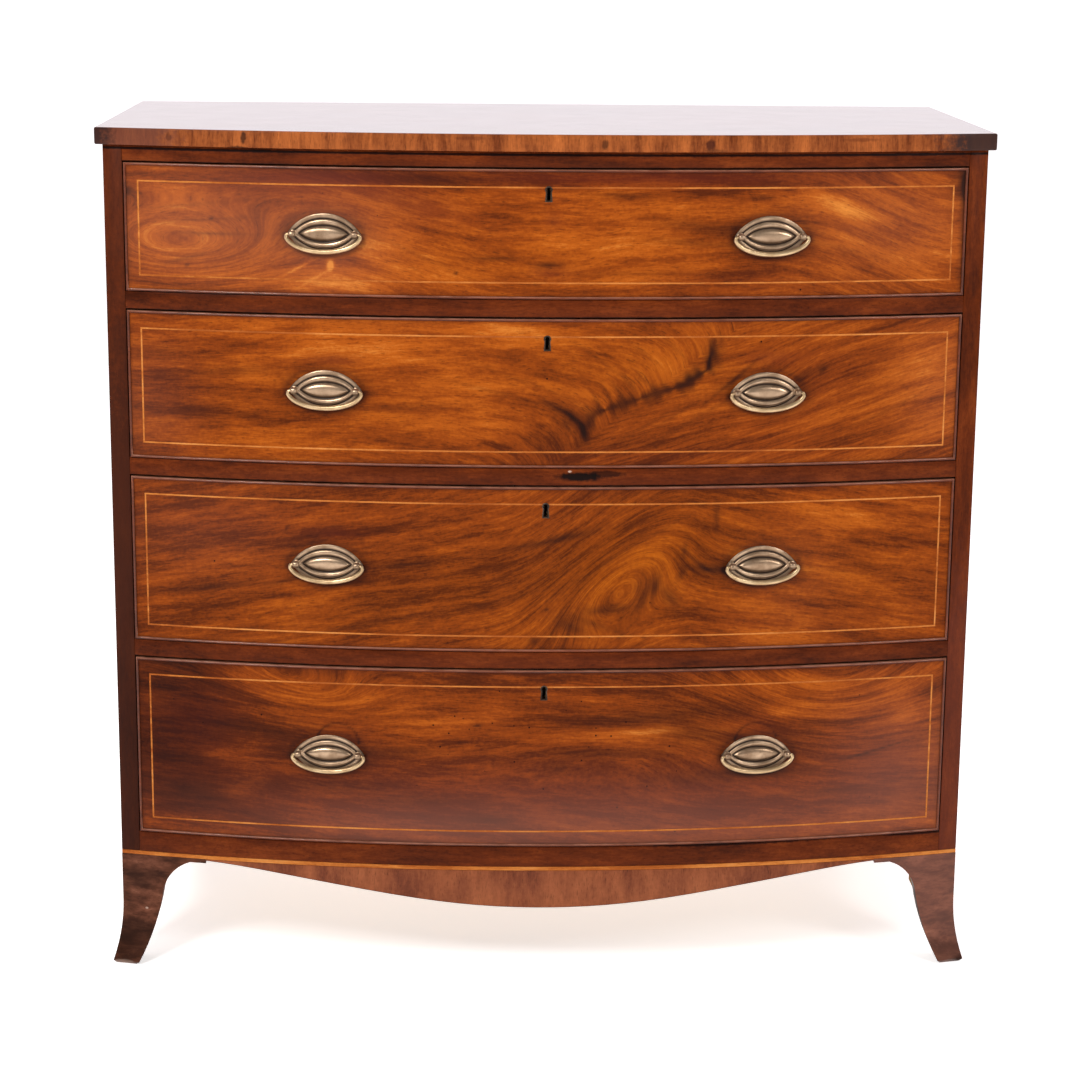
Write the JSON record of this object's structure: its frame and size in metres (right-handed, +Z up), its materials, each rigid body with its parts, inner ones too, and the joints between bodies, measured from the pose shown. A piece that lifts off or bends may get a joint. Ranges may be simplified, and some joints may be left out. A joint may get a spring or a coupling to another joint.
{
  "type": "bow front chest of drawers",
  "caption": "Bow front chest with graduated cockbeaded long drawers on flared bracket feet, brass bail handles and drawer locks.",
  "frame": {"origin": "on the floor, under the middle of the chest's overall width and depth", "axes": "+X to the chest's right as seen from the front, +Y from the front to the back, +Z up"},
  "size_m": [1.066, 0.5296, 1.035],
  "materials": {
    "mahogany": "polished",
    "oak": "bare",
    "pine": "bare",
    "boxwood": "polished",
    "brass": "aged",
    "steel": "worn"
  },
  "bodies": {
    "case": {"top_board": "mahogany", "case_side_left": "mahogany", "case_side_right": "mahogany", "back_boards": "pine", "case_bottom": "pine", "top_rails": "mahogany", "drawer_rails": "mahogany", "drawer_runners": "pine", "dustboards": "pine", "drawer_stops": "pine", "base_stringing": "boxwood", "front_apron": "mahogany", "side_aprons": "mahogany", "front_feet": "mahogany", "back_feet": "mahogany", "glue_blocks": "pine"},
    "drawer_1": {"drawer_1_front": "mahogany", "drawer_1_sides": "oak", "drawer_1_back": "oak", "drawer_1_bottom": "oak", "drawer_1_cockbead": "mahogany", "drawer_1_lock": "brass", "drawer_1_escutcheon": "brass", "drawer_1_handle_plates": "brass"},
    "bail_1_left": {"drawer_1_bail_left": "brass"},
    "bail_1_right": {"drawer_1_bail_right": "brass"},
    "bolt_1": {"drawer_1_bolt": "steel"},
    "drawer_2": {"drawer_2_front": "mahogany", "drawer_2_sides": "oak", "drawer_2_back": "oak", "drawer_2_bottom": "oak", "drawer_2_cockbead": "mahogany", "drawer_2_lock": "brass", "drawer_2_escutcheon": "brass", "drawer_2_handle_plates": "brass"},
    "bail_2_left": {"drawer_2_bail_left": "brass"},
    "bail_2_right": {"drawer_2_bail_right": "brass"},
    "bolt_2": {"drawer_2_bolt": "steel"},
    "drawer_3": {"drawer_3_front": "mahogany", "drawer_3_sides": "oak", "drawer_3_back": "oak", "drawer_3_bottom": "oak", "drawer_3_cockbead": "mahogany", "drawer_3_lock": "brass", "drawer_3_escutcheon": "brass", "drawer_3_handle_plates": "brass"},
    "bail_3_left": {"drawer_3_bail_left": "brass"},
    "bail_3_right": {"drawer_3_bail_right": "brass"},
    "bolt_3": {"drawer_3_bolt": "steel"},
    "drawer_4": {"drawer_4_front": "mahogany", "drawer_4_sides": "oak", "drawer_4_back": "oak", "drawer_4_bottom": "oak", "drawer_4_cockbead": "mahogany", "drawer_4_lock": "brass", "drawer_4_escutcheon": "brass", "drawer_4_handle_plates": "brass"},
    "bail_4_left": {"drawer_4_bail_left": "brass"},
    "bail_4_right": {"drawer_4_bail_right": "brass"},
    "bolt_4": {"drawer_4_bolt": "steel"}
  },
  "joints": [
    {"name": "drawer_1_slide", "type": "slide", "parent": "case", "child": "drawer_1", "axis": [0, -1, 0], "range_m": [0, 0.36]},
    {"name": "drawer_2_slide", "type": "slide", "parent": "case", "child": "drawer_2", "axis": [0, -1, 0], "range_m": [0, 0.36]},
    {"name": "drawer_3_slide", "type": "slide", "parent": "case", "child": "drawer_3", "axis": [0, -1, 0], "range_m": [0, 0.36]},
    {"name": "drawer_4_slide", "type": "slide", "parent": "case", "child": "drawer_4", "axis": [0, -1, 0], "range_m": [0, 0.36]},
    {"name": "bail_1_left_swing", "type": "hinge", "parent": "drawer_1", "child": "bail_1_left", "pos_m": [-0.26091, -0.24753, 0.9173], "axis": [-0.9924, 0.1231, 0], "range_deg": [0, 180]},
    {"name": "bail_1_right_swing", "type": "hinge", "parent": "drawer_1", "child": "bail_1_right", "pos_m": [0.26091, -0.24753, 0.9173], "axis": [-0.9924, -0.1231, 0], "range_deg": [0, 180]},
    {"name": "bolt_1_throw", "type": "slide", "parent": "drawer_1", "child": "bolt_1", "axis": [0, 0, 1], "range_m": [0, 0.0085]},
    {"name": "bail_2_left_swing", "type": "hinge", "parent": "drawer_2", "child": "bail_2_left", "pos_m": [-0.26091, -0.24753, 0.7333], "axis": [-0.9924, 0.1231, 0], "range_deg": [0, 180]},
    {"name": "bail_2_right_swing", "type": "hinge", "parent": "drawer_2", "child": "bail_2_right", "pos_m": [0.26091, -0.24753, 0.7333], "axis": [-0.9924, -0.1231, 0], "range_deg": [0, 180]},
    {"name": "bolt_2_throw", "type": "slide", "parent": "drawer_2", "child": "bolt_2", "axis": [0, 0, 1], "range_m": [0, 0.0085]},
    {"name": "bail_3_left_swing", "type": "hinge", "parent": "drawer_3", "child": "bail_3_left", "pos_m": [-0.26091, -0.24753, 0.5233], "axis": [-0.9924, 0.1231, 0], "range_deg": [0, 180]},
    {"name": "bail_3_right_swing", "type": "hinge", "parent": "drawer_3", "child": "bail_3_right", "pos_m": [0.26091, -0.24753, 0.5233], "axis": [-0.9924, -0.1231, 0], "range_deg": [0, 180]},
    {"name": "bolt_3_throw", "type": "slide", "parent": "drawer_3", "child": "bolt_3", "axis": [0, 0, 1], "range_m": [0, 0.0085]},
    {"name": "bail_4_left_swing", "type": "hinge", "parent": "drawer_4", "child": "bail_4_left", "pos_m": [-0.26091, -0.24753, 0.2863], "axis": [-0.9924, 0.1231, 0], "range_deg": [0, 180]},
    {"name": "bail_4_right_swing", "type": "hinge", "parent": "drawer_4", "child": "bail_4_right", "pos_m": [0.26091, -0.24753, 0.2863], "axis": [-0.9924, -0.1231, 0], "range_deg": [0, 180]},
    {"name": "bolt_4_throw", "type": "slide", "parent": "drawer_4", "child": "bolt_4", "axis": [0, 0, 1], "range_m": [0, 0.0085]}
  ]
}
